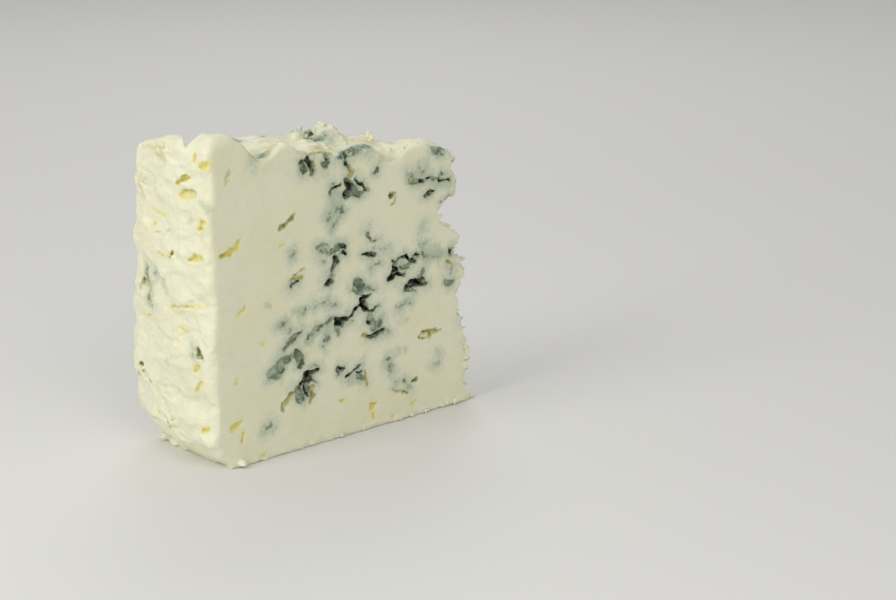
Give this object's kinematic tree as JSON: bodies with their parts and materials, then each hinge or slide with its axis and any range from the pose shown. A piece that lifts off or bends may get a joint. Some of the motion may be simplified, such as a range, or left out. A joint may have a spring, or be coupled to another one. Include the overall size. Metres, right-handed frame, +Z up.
{
  "type": "blue cheese wedge",
  "caption": "Tall wedge of blue cheese: curved lumpy rim, two flat cut faces with open mould pockets, a crumbly uneven top and a torn thin end.",
  "frame": {"origin": "middle of the wedge's box, on the surface it stands on", "axes": "+Z up, -X towards the wheel's rim and +X towards the torn thin end, -Y out of the front cut face"},
  "size_m": [0.1001, 0.0398, 0.0941],
  "materials": {
    "blue_cheese": null
  },
  "bodies": {
    "root": {"cheese": "blue_cheese"}
  },
  "joints": []
}
